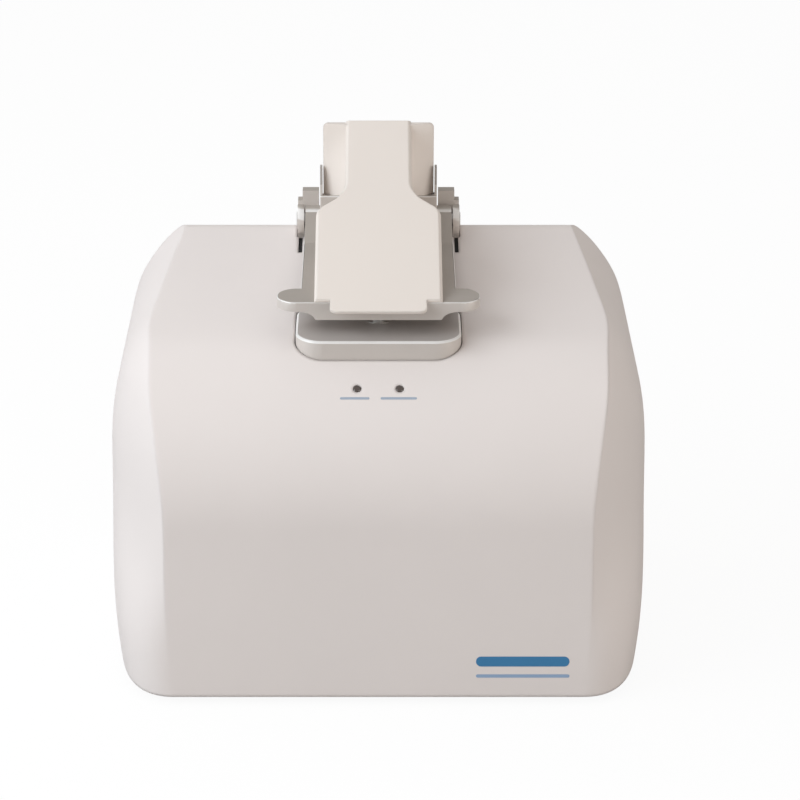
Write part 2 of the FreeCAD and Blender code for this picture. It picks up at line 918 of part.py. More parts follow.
def make_main_board():
    y0, y1 = back(board_rear - board_depth), back(board_rear)
    top = board_top()
    board = box(-board_width / 2, board_width / 2, y0, y1, board_height, top)

    def chip(x, y, width, depth, height):
        return box(x, x + width, y0 + y, y0 + y + depth, top, top + height)

    processor = chip(-processor_width / 2, processor_inset, processor_width, processor_width, processor_height)
    header = chip(-header_width / 2, header_inset, header_width, header_depth, header_height)
    memory = [chip(memory_offset + memory_pitch * i, memory_inset, memory_width, memory_depth, memory_height)
              for i in range(memory_count)]
    coils = [chip(coil_offset + coil_pitch * i, coil_inset, coil_width, coil_width, coil_height)
             for i in range(coil_count)]
    return fused(board, processor, header, *memory, *coils)


def make_driver_board():
    y0 = back(driver_front)
    x0 = driver_offset - driver_width / 2
    top = driver_height + board_thickness
    board = box(x0, x0 + driver_width, y0, y0 + driver_depth, driver_height, top)
    x1 = x0 + (driver_width - driver_chip_width) / 2
    y1 = y0 + driver_chip_inset
    chip = box(x1, x1 + driver_chip_width, y1, y1 + driver_chip_width, top, top + driver_chip_height)
    y2 = y0 + driver_depth - capacitor_inset
    can = cylinder(capacitor_radius, capacitor_height, Vector(driver_offset, y2, top))
    return board.fuse([chip, can])


def make_spectrometer_module():
    y0 = back(spectrometer_front)
    low = chassis_top()
    half = spectrometer_width / 2
    block = rounded_slab(half, y0, y0 + spectrometer_depth, 4.0, low, low + spectrometer_height - 2)
    lid = rounded_slab(half - 1.5, y0 + 1.5, y0 + spectrometer_depth - 1.5, 3.0,
                       low + spectrometer_height - 2, low + spectrometer_height)
    return block.fuse(lid).removeSplitter()


def tube(radius, points, bend):
    """A round tube along straight runs joined by tangent arcs of one bend radius."""
    edges = []
    start = points[0]
    for before, corner, after in zip(points, points[1:], points[2:]):
        inward = (before - corner).normalize()
        outward = (after - corner).normalize()
        half_turn = inward.getAngle(outward) / 2
        reach = bend / math.tan(half_turn)
        first = corner + inward * reach
        last = corner + outward * reach
        middle = (inward + outward).normalize()
        crown = corner + middle * (bend / math.sin(half_turn) - bend)
        edges.append(Part.LineSegment(start, first).toShape())
        edges.append(Part.Arc(first, crown, last).toShape())
        start = last
    edges.append(Part.LineSegment(start, points[-1]).toShape())
    ring = Part.Wire([Part.makeCircle(radius, points[0], points[1] - points[0])])
    return Part.Wire(edges).makePipeShell([ring], True, False)


def make_receiving_fibre():
    low = chassis_top() + spectrometer_height
    x = bracket_half_width - 1.5
    y = back(sample_point) - bracket_half_width + 4
    return tube(fibre_radius, [
        Vector(x - 8, y - 14, low),
        Vector(x - 8, y - 14, low + 26),
        Vector(x, y, motor_top - 22),
        Vector(x, y, motor_top),
    ], fibre_bend)


def make_arm_sensor():
    """The small board under the deck that notices the arm's magnet."""
    ceiling = deck_height - deck_thickness
    y = back(magnet_back)
    return box(magnet_offset - 4, magnet_offset + 4, y - 4, y + 4, ceiling - board_thickness, ceiling)


def make_led_board():
    lean = math.degrees(top_lean())
    board = Part.makeBox(led_board_width, led_board_depth, board_thickness,
                         Vector(-led_board_width / 2, -led_board_depth / 2, -board_thickness))
    board.rotate(Vector(0, 0, 0), Vector(1, 0, 0), lean)
    board.translate(on_led_axis(0, -led_length))
    return board


def make_status_leds():
    lamps = []
    for x in (-led_offset, led_offset):
        body = led_cylinder(led_radius, x, -led_length, led_rise)
        rim = [edge for edge in body.Edges if edge.BoundBox.Center.z > on_led_axis(x, 0).z]
        lamps.append(body.makeChamfer(0.35, rim))
    return Part.makeCompound(lamps)


def socket_row():
    return board_top() + socket_body_height / 2


def make_rear_panel():
    face = panel_outer_face()
    inner = face - panel_thickness
    low = chassis_top()
    plate = box(-panel_half_width, panel_half_width, inner, face, low, panel_top)
    flange = box(-panel_flange_half_width, panel_flange_half_width, inner - panel_flange_depth, inner,
                 low, low + panel_thickness)
    plate = plate.fuse(flange)
    switch_half = switch_body_width / 2
    cutters = [
        along_y(jack_collar_radius + seat_gap, inner - 1, face + 1, jack_offset, socket_row()),
        box(usb_offset - usb_width / 2 - seat_gap, usb_offset + usb_width / 2 + seat_gap, inner - 1, face + 1,
            board_top() - seat_gap, board_top() + socket_body_height + seat_gap),
        box(switch_offset - switch_half - seat_gap, switch_offset + switch_half + seat_gap,
            inner - 1, face + 1, switch_height - switch_body_height / 2 - seat_gap,
            switch_height + switch_body_height / 2 + seat_gap),
    ]
    for x, z in panel_screw_places():
        cutters.append(along_y(panel_screw_radius + seat_gap, inner - 1, face + 1, x, z))
    for i in range(vent_slots):
        x = (i - (vent_slots - 1) / 2) * vent_pitch
        cutters.append(box(x - vent_slot_width / 2, x + vent_slot_width / 2, inner - 1, face + 1,
                           vent_row_height - vent_slot_length / 2, vent_row_height + vent_slot_length / 2))
    return plate.cut(cutters).removeSplitter()


def make_panel_screws():
    rear = back(body_depth)
    inward = Vector(0, -1, 0)
    return Part.makeCompound([
        screw(panel_screw_head_radius, panel_screw_head_height, panel_screw_radius, panel_screw_length,
              Vector(x, rear - panel_screw_head_height, z), inward)
        for x, z in panel_screw_places()
    ])


def make_dc_jack():
    face = panel_outer_face()
    inner = face - panel_thickness
    z = socket_row()
    x = jack_offset
    out = face + jack_collar_rise
    body = box(x - jack_width / 2, x + jack_width / 2, inner - jack_length, inner,
               z - socket_body_height / 2, z + socket_body_height / 2)
    body = body.fuse(along_y(jack_collar_radius, inner, out, x, z))
    body = body.cut(along_y(jack_bore_radius, out - jack_bore_depth, out + 1, x, z))
    pin = along_y(jack_pin_radius, out - jack_bore_depth - 1, out - 1.2, x, z)
    return body.fuse(pin)


def make_usb_port():
    face = panel_outer_face()
    z = socket_row()
    x = usb_offset
    half = usb_opening_width / 2
    low, high = z - usb_opening_height / 2, z + usb_opening_height / 2
    y0 = face - usb_opening_depth
    body = box(x - usb_width / 2, x + usb_width / 2, face - usb_length, face,
               z - socket_body_height / 2, z + socket_body_height / 2)
    bevel = 2.0
    outline = [
        Vector(x - half, y0, low),
        Vector(x + half, y0, low),
        Vector(x + half, y0, high - bevel),
        Vector(x + half - bevel, y0, high),
        Vector(x - half + bevel, y0, high),
        Vector(x - half, y0, high - bevel),
    ]
    body = body.cut(prism(outline, Vector(0, usb_opening_depth + 1, 0)))
    tongue = box(x - usb_tongue_width / 2, x + usb_tongue_width / 2, y0 - 1, face - 0.8,
                 z - usb_tongue_height / 2, z + usb_tongue_height / 2)
    return body.fuse(tongue)


def rocker_pivot():
    """The rocker turns about this line: it lies behind the bezel, so no end reaches past the housing."""
    tilt = math.radians(rocker_tilt)
    end = rocker_face + rocker_half_height * math.tan(tilt)
    reach = end * math.cos(tilt) + rocker_half_height * math.sin(tilt)
    return back(body_depth) - 0.25 - reach


def make_switch_housing():
    face = panel_outer_face()
    x, z = switch_offset, switch_height
    body = box(x - switch_body_width / 2, x + switch_body_width / 2, face - switch_body_depth, face + 0.5,
               z - switch_body_height / 2, z + switch_body_height / 2)
    bezel = box(x - switch_bezel_width / 2, x + switch_bezel_width / 2, face, face + switch_bezel_rise,
                z - switch_bezel_height / 2, z + switch_bezel_height / 2)
    rim = [edge for edge in bezel.Edges if edge.BoundBox.YMin > face + switch_bezel_rise - 0.01]
    body = body.fuse(bezel.makeChamfer(0.5, rim))
    half = rocker_width / 2 + rocker_side_gap
    tall = rocker_half_height + rocker_end_gap
    pivot = rocker_pivot()
    well = box(x - half, x + half, pivot - rocker_depth, face + 10, z - tall, z + tall)
    pin = along_x(rocker_pin_radius + rocker_pin_clearance, x - half - rocker_pin_reach,
                  x + half + rocker_pin_reach, pivot, z)
    tabs = [box(x - 4 + 5 * i, x - 2.4 + 5 * i, face - switch_body_depth - 6, face - switch_body_depth,
                z - 3, z + 3) for i in range(2)]
    return fused(body.cut([well, pin]), *tabs)


def make_power_rocker():
    x, z = switch_offset, switch_height
    pivot = rocker_pivot()
    high = rocker_half_height
    end = rocker_face + high * math.tan(math.radians(rocker_tilt))
    low = -rocker_depth / 2 + 0.9
    x0 = x - rocker_width / 2
    outline = [
        Vector(x0, pivot + end, z + high),
        Vector(x0, pivot + rocker_face, z),
        Vector(x0, pivot + end, z - high),
        Vector(x0, pivot + 1.2, z - high),
        Vector(x0, pivot + low, z - 3.0),
        Vector(x0, pivot + low, z + 3.0),
        Vector(x0, pivot + 1.2, z + high),
    ]
    body = prism(outline, Vector(rocker_width, 0, 0))
    reach = rocker_width / 2 + rocker_side_gap + rocker_pin_reach - 0.1
    rocker = body.fuse(along_x(rocker_pin_radius, x - reach, x + reach, pivot, z))
    rocker.rotate(Vector(x, pivot, z), Vector(1, 0, 0), rocker_tilt)
    return rocker


def cover_boss_places():
    return [(sx * x, back(y)) for sx in (-1, 1) for x, y in ((19.0, 70.0), (14.5, 92.0))]


def fairing(outer):
    """The strip beside the cover that rises from the plate and runs onto the hinge barrel."""
    meet = math.radians(fairing_meet)
    x0 = flange_half_width
    y_pivot = back(pivot_back)
    start = y_pivot - fairing_length
    return prism([
        Vector(x0, start, arm_top - 1),
        Vector(x0, start, arm_top),
        Vector(x0, y_pivot - barrel_radius * math.sin(meet), pivot_height + barrel_radius * math.cos(meet)),
        Vector(x0, y_pivot, pivot_height),
        Vector(x0, y_pivot, arm_top - 1),
    ], Vector(outer - x0, 0, 0))


def make_arm_frame():
    y0 = back(arm_front)
    y_pivot = back(pivot_back)
    rear = back(arm_rear)
    plate = box(-arm_half_width, arm_half_width, y0 + 5, y_pivot - ear_radius + 2, arm_bottom, arm_top)
    heel = box(-flange_half_width, flange_half_width, y_pivot - ear_radius, rear, arm_bottom, arm_top)
    wings = rounded_slab(wing_half_span, y0, y0 + wing_depth, wing_corner, arm_bottom, arm_top)
    bow = Part.BezierCurve()
    bow.setPoles([Vector(chin_half_width, y0, chin_bottom), Vector(chin_half_width + 1.2, y0, arm_bottom),
                  Vector(chin_flare, y0, arm_bottom)])
    right = bow.toShape()
    left = mirrored(right)
    corner = Vector(chin_half_width, y0, chin_bottom)
    level = Part.LineSegment(Vector(-chin_half_width, y0, chin_bottom), corner)
    under = Part.LineSegment(Vector(chin_flare, y0, arm_bottom), Vector(-chin_flare, y0, arm_bottom))
    outline = Part.Wire(Part.__sortEdges__([level.toShape(), right, under.toShape(), left]))
    chin = Part.Face(outline).extrude(Vector(0, chin_depth, 0))
    half = arm_half_width - barrel_end_gap + ear_gap / 2
    barrel = along_x(barrel_radius, -half, half, y_pivot, pivot_height)
    top = riser_top - shell_gap
    wall = box(riser_half_width - riser_wall, riser_half_width,
               back(riser_front) + shell_gap, rear, arm_top - 1, top)
    x0 = flange_half_width - flange_thickness
    fin = prism([
        Vector(x0, rear - flange_length, arm_top - 1),
        Vector(x0, rear, arm_top - 1),
        Vector(x0, rear, flange_top),
        Vector(x0, rear - 3, flange_top),
        Vector(x0, rear - flange_length, riser_top),
    ], Vector(flange_thickness, 0, 0))
    end = box(-flange_half_width, flange_half_width, rear - rear_wall, rear, arm_bottom, top)
    frame = fused(plate, heel, wings, chin, barrel, end, *both_sides(wall), *both_sides(fairing(half)),
                  *both_sides(fin))
    centre = Vector(0, back(sample_point), 0)
    cutters = [
        along_x(bush_radius + seat_gap / 2, -40, 40, y_pivot, pivot_height),
        cylinder(pedestal_radius + seat_gap, 40.0, centre + Vector(0, 0, arm_bottom - 10)),
        cylinder(magnet_radius + seat_gap, magnet_height,
                 Vector(magnet_offset, back(magnet_back), arm_bottom)),
    ]
    for x, y in cover_boss_places():
        cutters.append(cylinder(small_screw_radius + seat_gap, 10.0, Vector(x, y, arm_bottom - 1)))
        cutters.append(cylinder(small_screw_head_radius + seat_gap, cover_screw_head_depth,
                                Vector(x, y, arm_bottom)))
    return frame.cut(cutters).removeSplitter()


def slope_height(distance):
    """The height of the arm cover's sloping top this far behind the front face."""
    low = arm_top + shell_front_height
    share = (distance - arm_front) / (arm_rear - arm_front)
    return mix(low, shell_rear_height, share)


def under_slope(drop):
    """Everything below a plane that lies this far under the cover's sloping top."""
    front, rear = 0.0, arm_rear
    side = -2 * shell_half_width
    return prism([
        Vector(side, back(front), 0),
        Vector(side, back(front), slope_height(front) - drop),
        Vector(side, back(rear), slope_height(rear) - drop),
        Vector(side, back(rear), 0),
    ], Vector(-2 * side, 0, 0))


def slope_rim(shape):
    """The edges of a shape that lie in the sloping plane."""

    def on_plane(vertex):
        distance = vertex.Y + body_depth / 2
        return abs(vertex.Z - slope_height(distance)) < 1e-4

    return [edge for edge in shape.Edges if all(on_plane(vertex) for vertex in edge.Vertexes)]


def neck_rear_radius():
    """The radius that lets the neck's straight run meet both of its arcs along their tangents."""
    turn = math.radians(neck_turn)
    run = (neck_end - neck_start) * math.sin(turn)
    step = (shell_half_width - tower_half_width) * math.cos(turn)
    return (run - step) / (1 - math.cos(turn)) - neck_front_radius


def cover_block(inset, front, roof):
    """The arm cover's main form: a wide plate that necks down to a spine, under the slope."""
    turn = math.radians(neck_turn)
    wide = shell_half_width - inset
    spine = tower_half_width - inset
    rear = back(arm_rear) - inset
    first = Vector(shell_half_width - neck_front_radius, back(neck_start), arm_top)
    second = Vector(tower_half_width + neck_rear_radius(), back(neck_end), arm_top)

    def around(centre, radius, angle):
        return centre + Vector(math.cos(angle), math.sin(angle), 0) * radius

    outward = neck_front_radius - inset
    inward = neck_rear_radius() + inset
    start = around(first, outward, 0)
    leave = around(first, outward, turn)
    join = around(second, inward, math.pi + turn)
    end = around(second, inward, math.pi)
    right = [
        Part.LineSegment(Vector(wide, back(front), arm_top), start).toShape(),
        Part.Arc(start, around(first, outward, turn / 2), leave).toShape(),
        Part.LineSegment(leave, join).toShape(),
        Part.Arc(join, around(second, inward, math.pi + turn / 2), end).toShape(),
        Part.LineSegment(end, Vector(spine, rear, arm_top)).toShape(),
    ]
    nose = Part.LineSegment(Vector(-wide, back(front), arm_top), Vector(wide, back(front), arm_top)).toShape()
    tail = Part.LineSegment(Vector(spine, rear, arm_top), Vector(-spine, rear, arm_top)).toShape()
    edges = right + [mirrored(edge) for edge in right] + [nose, tail]
    outline = Part.Face(Part.Wire(Part.__sortEdges__(edges)))
    return outline.extrude(Vector(0, 0, shell_rear_height + shell_roof - arm_top)).common(under_slope(roof))


def flare_block():
    """The web that widens the tower's back on one side. Its front face is ruled: it starts far
    forward on the spine at the foot and close to the back at the top."""
    rear = back(arm_rear)
    inner = tower_half_width - shell_wall / 2
    top = shell_rear_height - flare_drop

    def level(z, depth):
        return Part.makePolygon([
            Vector(inner, rear, z),
            Vector(flare_half_width, rear, z),
            Vector(flare_half_width, rear - flare_lip, z),
            Vector(tower_half_width, rear - depth, z),
            Vector(inner, rear - depth, z),
            Vector(inner, rear, z),
        ])

    web = Part.makeLoft([level(riser_top, flare_foot_depth), level(top, flare_top_depth)], True, True)
    slab = rounded_slab_upright(flare_half_width, arm_top, top, flare_corner, rear - flare_foot_depth, rear)
    return web.common(slab)


def make_arm_cover():
    outer = cover_block(0.0, arm_front, 0.0)
    rim = [edge for edge in slope_rim(outer) if edge.BoundBox.YMax > back(arm_front) + 1]
    outer = outer.makeChamfer(shell_bevel, rim)
    outer = outer.fuse(both_sides(flare_block()))
    inner = cover_block(shell_wall, arm_front + 7.0, shell_roof)
    shell = outer.cut(inner)
    posts = []
    for x, y in cover_boss_places():
        posts.append(cylinder(cover_boss_radius, 60.0, Vector(x, y, arm_top)).common(outer))
    shell = shell.fuse(posts)
    lean = math.atan2(shell_rear_height - arm_top - shell_front_height, arm_rear - arm_front)
    tab = rounded_slab(lift_tab_half_width, -lift_tab_reach / math.cos(lean), 8.0, lift_tab_corner,
                       -lift_tab_thickness, 0.0)
    tab.rotate(Vector(0, 0, 0), Vector(1, 0, 0), math.degrees(lean))
    tab.translate(Vector(0, back(arm_front), arm_top + shell_front_height))
    room = box(-60, 60, back(arm_front), back(arm_rear), 100, arm_top)
    shell = shell.fuse(tab.cut(room))
    cutters = [box(-60, 60, back(riser_front), back(arm_rear) + 5, 100, riser_top)]
    for x, y in cover_boss_places():
        cutters.append(cylinder(small_screw_radius, small_screw_length - 3, Vector(x, y, arm_top)))
    return shell.cut(cutters).removeSplitter()


def make_hinge_bushes():
    half = arm_half_width - barrel_end_gap + ear_gap / 2
    y = back(pivot_back)
    ring = along_x(bush_radius, half - bush_length, half, y, pivot_height)
    ring = ring.cut(along_x(pin_radius + pin_clearance, half - bush_length - 1, half + 1, y, pivot_height))
    return Part.makeCompound(both_sides(ring))


def make_upper_pedestal():
    centre = Vector(0, back(sample_point), 0)
    tip = lower_tip + path_length
    neck = tip + pedestal_tip_height
    body = cylinder(pedestal_radius, arm_top - neck, centre + Vector(0, 0, neck))
    point = Part.makeCone(pedestal_tip_radius, pedestal_radius - 0.4, pedestal_tip_height,
                          centre + Vector(0, 0, tip))
    cap = cylinder(upper_cap_radius, upper_cap_height, centre + Vector(0, 0, arm_top))
    return body.fuse([point, cap]).removeSplitter()


def make_arm_magnet():
    return cylinder(magnet_radius, magnet_height, Vector(magnet_offset, back(magnet_back), arm_bottom))


def lamp_front():
    return arm_rear - shell_wall - lamp_rear_gap - lamp_length


def lamp_size():
    """The lamp's radius and the height of its axis, from the room over the plate at its front."""
    room = slope_height(lamp_front()) - shell_roof - arm_top
    return room * lamp_radius_share, arm_top + room * lamp_axis_share


def snout_height():
    radius, height = lamp_size()
    return height - radius / 2


def make_lamp_module():
    y0 = back(lamp_front())
    radius, height = lamp_size()
    lamp = along_y(radius, y0, y0 + lamp_length, 0, height)
    return lamp.fuse(along_y(radius * lamp_snout_share, y0 - lamp_snout_length, y0, 0, snout_height()))


def make_lamp_bracket():
    y0 = back(lamp_front()) + 1
    radius, height = lamp_size()
    block = box(-saddle_half_width, saddle_half_width, y0, y0 + saddle_length, arm_top, height)
    return block.cut(along_y(radius, y0 - 5, y0 + saddle_length + 5, 0, height))


def make_lamp_fibre():
    y0 = back(sample_point) + upper_cap_radius
    y1 = back(lamp_front()) - lamp_snout_length
    z0 = arm_top + upper_cap_height / 2
    z1 = snout_height()
    return tube(fibre_radius, [
        Vector(0, y1, z1),
        Vector(0, y1 - lamp_fibre_lead, z1),
        Vector(0, y0 + lamp_fibre_run, z0),
        Vector(0, y0 + fibre_end_gap, z0),
    ], fibre_bend)


def make_cover_screws():
    up = Vector(0, 0, 1)
    seat = arm_bottom + cover_screw_head_depth
    return Part.makeCompound([
        screw(small_screw_head_radius, small_screw_head_height, small_screw_radius - seat_gap,
              arm_top - seat + small_screw_length - 3.5, Vector(x, y, seat), up)
        for x, y in cover_boss_places()
    ])


PARTS = {
    "top_cover": make_top_cover,
    "bottom_chassis": make_bottom_chassis,
    "rubber_feet": make_rubber_feet,
    "foot_screws": make_foot_screws,
    "rear_panel": make_rear_panel,
    "panel_screws": make_panel_screws,
    "support_frame": make_support_frame,
    "sample_platform": make_sample_platform,
    "platform_gasket": make_platform_gasket,
    "platform_screws": make_platform_screws,
    "hinge_yoke": make_hinge_yoke,
    "yoke_screws": make_yoke_screws,
    "hinge_pin": make_hinge_pin,
    "pin_caps": make_pin_caps,
    "slot_seals": make_slot_seals,
    "stop_bumpers": make_stop_bumpers,
    "pedestal_guide": make_pedestal_guide,
    "lift_motor": make_lift_motor,
    "motor_bracket": make_motor_bracket,
    "main_board": make_main_board,
    "board_standoffs": make_board_standoffs,
    "driver_board": make_driver_board,
    "spectrometer_module": make_spectrometer_module,
    "receiving_fibre": make_receiving_fibre,
    "arm_sensor": make_arm_sensor,
    "led_board": make_led_board,
    "status_leds": make_status_leds,
    "dc_jack": make_dc_jack,
    "usb_port": make_usb_port,
    "switch_housing": make_switch_housing,
    "power_rocker": make_power_rocker,
    "lower_pedestal": make_lower_pedestal,
    "lift_rod": make_lift_rod,
    "arm_frame": make_arm_frame,
    "arm_cover": make_arm_cover,
    "cover_screws": make_cover_screws,
    "hinge_bushes": make_hinge_bushes,
    "upper_pedestal": make_upper_pedestal,
    "arm_magnet": make_arm_magnet,
    "lamp_module": make_lamp_module,
    "lamp_bracket": make_lamp_bracket,
    "lamp_fibre": make_lamp_fibre,
}


def main():
    os.makedirs("parts", exist_ok=True)
    for name, make in PARTS.items():
        shape = make()
        shape.exportStep("parts/" + name + ".step")
        print(name, len(shape.Solids), round(shape.Volume, 1), shape.isValid())


main()
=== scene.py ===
import json
import math

import bpy
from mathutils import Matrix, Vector
from mathutils.bvhtree import BVHTree


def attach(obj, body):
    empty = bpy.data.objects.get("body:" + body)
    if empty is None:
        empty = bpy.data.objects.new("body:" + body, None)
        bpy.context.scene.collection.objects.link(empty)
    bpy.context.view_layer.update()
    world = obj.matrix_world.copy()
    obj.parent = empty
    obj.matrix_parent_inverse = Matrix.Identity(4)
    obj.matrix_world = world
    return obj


# The looks of a microvolume spectrophotometer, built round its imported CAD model. Metres.
# +X is the user's right, +Y points to the back, +Z is up, and the origin is on the table.

MM = 0.001
INK_THICKNESS = 0.00005

# Camera: it looks at a point over the middle of the housing from the front and above
CAMERA_ELEVATION = math.radians(22.0)
CAMERA_DISTANCE = 1.2
CAMERA_TARGET = Vector((0.0, -0.018, 0.1015))
CAMERA_FOCAL_PIXELS = 3083.0
CAMERA_REACH = (0.05, 20.0)
TARGET_PIXEL_X = 378.5
IMAGE_PIXELS = 800
SENSOR_WIDTH = 36.0

# Rounding of the castings' sharp edges. Points and levels that are this near count as the same.
NEAR = 0.01 * MM
SHARP_ANGLE = math.radians(30.0)
CASTING_ROUNDING = 0.6 * MM
ARM_ROUNDING = 0.45 * MM
ROUNDING_SEGMENTS = 2

# Places on the arm frame that the rounding and the finishes look for, as in the CAD source
ARM_TOP = 148.0 * MM
ARM_OUTLINE_X = 25.5 * MM
ARM_OUTLINE_Y = -26.0 * MM
FIN_START = 163.0 * MM
REAR_WALL_TOP = 157.8 * MM
REAR_WALL_Y = 64.0 * MM

# The small upright plates between the arm frame's fins and the spine of the arm cover
RISER_INNER = 13.4 * MM
RISER_OUTER = 23.5 * MM
RISER_FRONT = 50.0 * MM
RISER_THICKNESS = 1.6 * MM
RISER_TOP = 162.4 * MM
RISER_BEVEL = 0.5 * MM
RISER_SEGMENTS = 3

# Printed bars: where their ends, tops and bottoms show in the picture, in pixels
LEFT_LAMP_BAR_X = (340.0, 369.5)
RIGHT_LAMP_BAR_X = (380.6, 417.0)
LAMP_BAR_Y = (397.2, 399.6)
FRONT_BAR_X = (476.0, 569.5)
FRONT_BAR_Y = (656.5, 666.5)
FRONT_LINE_Y = (674.3, 677.6)
BAR_COLUMNS = 40
BAR_ROWS = 4
BAR_LEAST_HEIGHT = 0.05

# Light: the studio's strength on the object, the colours of its two sides, and the point that the lamps face
WORLD_STRENGTH = 0.545
LEFT_WALL = (0.98, 0.99, 1.0)
RIGHT_WALL = (0.80, 0.755, 0.71)
LIGHT_TARGET = Vector((0.0, 0.0, 0.08))

# Floor: its half width, its colour to all rays but the camera's, and how much of it glows to the camera
FLOOR_HALF = 6.0
FLOOR_COLOUR = (0.42, 0.414, 0.408)
FLOOR_GLOW = 0.93

# Noise of the finishes: cells per metre, how far the gloss varies, and the part of the noise that is used
PATCH_SCALE = 14.0
GLOSS_SCALE = 60.0
GLOSS_SPREAD = 0.05
NOISE_ROUGHNESS = 0.55
NOISE_LOW = 0.3
NOISE_HIGH = 0.7

# The upward part of a casting's normal, where its painted tones begin and end: lighter upright faces, a
# painted highlight on edges, painted shade on level faces
UPRIGHT_END = 0.22
EDGE_START = 0.40
EDGE_END = 0.86
LEVEL_START = 0.95

# Colours, as linear values
WARM_WHITE = (0.815, 0.754, 0.728)
ARM_WHITE = (0.822, 0.750, 0.692)
CASTING_BASE = (0.96, 0.96, 0.96)
# Painted light on the castings: upright faces lighter as painted reflection, level faces darker as painted
# shade, edges with a painted highlight
UPRIGHT_GREY = (0.640, 0.588, 0.547)
LEVEL_SHADE_GREY = (0.395, 0.354, 0.315)
# The platform's level faces, with less painted shade than the arm's
DECK_GREY = (0.560, 0.520, 0.495)
FIN_GREY = (0.440, 0.410, 0.385)
DARK_GREY = (0.060, 0.063, 0.068)
EDGE_HIGHLIGHT_GREY = (0.86, 0.84, 0.82)
LABEL_BLUE = (0.045, 0.210, 0.420)
CAPTION_BLUE = (0.300, 0.420, 0.600)
PALE_BLUE = (0.370, 0.430, 0.520)

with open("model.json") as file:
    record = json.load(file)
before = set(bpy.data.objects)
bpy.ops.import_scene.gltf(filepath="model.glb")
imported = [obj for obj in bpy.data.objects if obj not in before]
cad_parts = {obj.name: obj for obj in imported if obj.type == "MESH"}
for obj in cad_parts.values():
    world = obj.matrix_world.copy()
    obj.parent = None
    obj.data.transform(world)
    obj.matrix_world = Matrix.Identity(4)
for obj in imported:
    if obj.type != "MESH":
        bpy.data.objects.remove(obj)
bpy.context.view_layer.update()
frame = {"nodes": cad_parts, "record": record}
nodes = frame["nodes"]


def ramp(tree, factor, low, high, start=0.0, end=1.0):
    """Turns a factor into a blend of two colours, from start to end."""
    node = tree.nodes.new("ShaderNodeValToRGB")
    node.color_ramp.elements[0].position = start
    node.color_ramp.elements[1].position = end
    node.color_ramp.elements[0].color = (*low, 1.0)
    node.color_ramp.elements[1].color = (*high, 1.0)
    tree.links.new(factor, node.inputs["Fac"])
    return node.outputs["Color"]


def noise(tree, place, scale, detail, stretch=(1, 1, 1)):
    """Noise in the object's own metres: its cells are about one part in scale of a metre."""
    mapping = tree.nodes.new("ShaderNodeMapping")
    mapping.inputs["Scale"].default_value = stretch
    tree.links.new(place, mapping.inputs["Vector"])
    node = tree.nodes.new("ShaderNodeTexNoise")
    node.inputs["Scale"].default_value = scale
    node.inputs["Detail"].default_value = detail
    node.inputs["Roughness"].default_value = NOISE_ROUGHNESS
    tree.links.new(mapping.outputs["Vector"], node.inputs["Vector"])
    return node.outputs["Fac"]


def span(tree, factor, low, high):
    """Maps noise to a range of values."""
    node = tree.nodes.new("ShaderNodeMapRange")
    node.inputs["From Min"].default_value = NOISE_LOW
    node.inputs["From Max"].default_value = NOISE_HIGH
    node.inputs["To Min"].default_value = low
    node.inputs["To Max"].default_value = high
    tree.links.new(factor, node.inputs["Value"])
    return node.outputs["Result"]


def painted_light_by_facing(tree, upright, edge, level):
    """Painted light by facing: one colour on upright faces, a painted highlight on the rounded edges
    between, and painted shade on level faces.
    What stands above FIN_START has one plain tone."""
    split = tree.nodes.new("ShaderNodeSeparateXYZ")
    tree.links.new(tree.nodes.new("ShaderNodeTexCoord").outputs["Normal"], split.inputs["Vector"])
    band = tree.nodes.new("ShaderNodeValToRGB")
    steps = band.color_ramp.elements
    steps[0].position = UPRIGHT_END
    steps[1].position = LEVEL_START
    steps[0].color = (*upright, 1.0)
    steps[1].color = (*level, 1.0)
    for place in (EDGE_START, EDGE_END):
        steps.new(place).color = (*edge, 1.0)
    tree.links.new(split.outputs["Z"], band.inputs["Fac"])
    height = tree.nodes.new("ShaderNodeSeparateXYZ")
    tree.links.new(tree.nodes.new("ShaderNodeTexCoord").outputs["Object"], height.inputs["Vector"])
    above = tree.nodes.new("ShaderNodeMath")
    above.operation = "GREATER_THAN"
    above.inputs[1].default_value = FIN_START
    tree.links.new(height.outputs["Z"], above.inputs[0])
    blend = tree.nodes.new("ShaderNodeMix")
    blend.data_type = "RGBA"
    tree.links.new(above.outputs["Value"], blend.inputs["Factor"])
    tree.links.new(band.outputs["Color"], blend.inputs["A"])
    blend.inputs["B"].default_value = (*FIN_GREY, 1.0)
    return blend.outputs["Result"]


def scaled(colour, amount):
    """A colour made lighter or darker."""
    return tuple(min(1.0, channel * amount) for channel in colour)


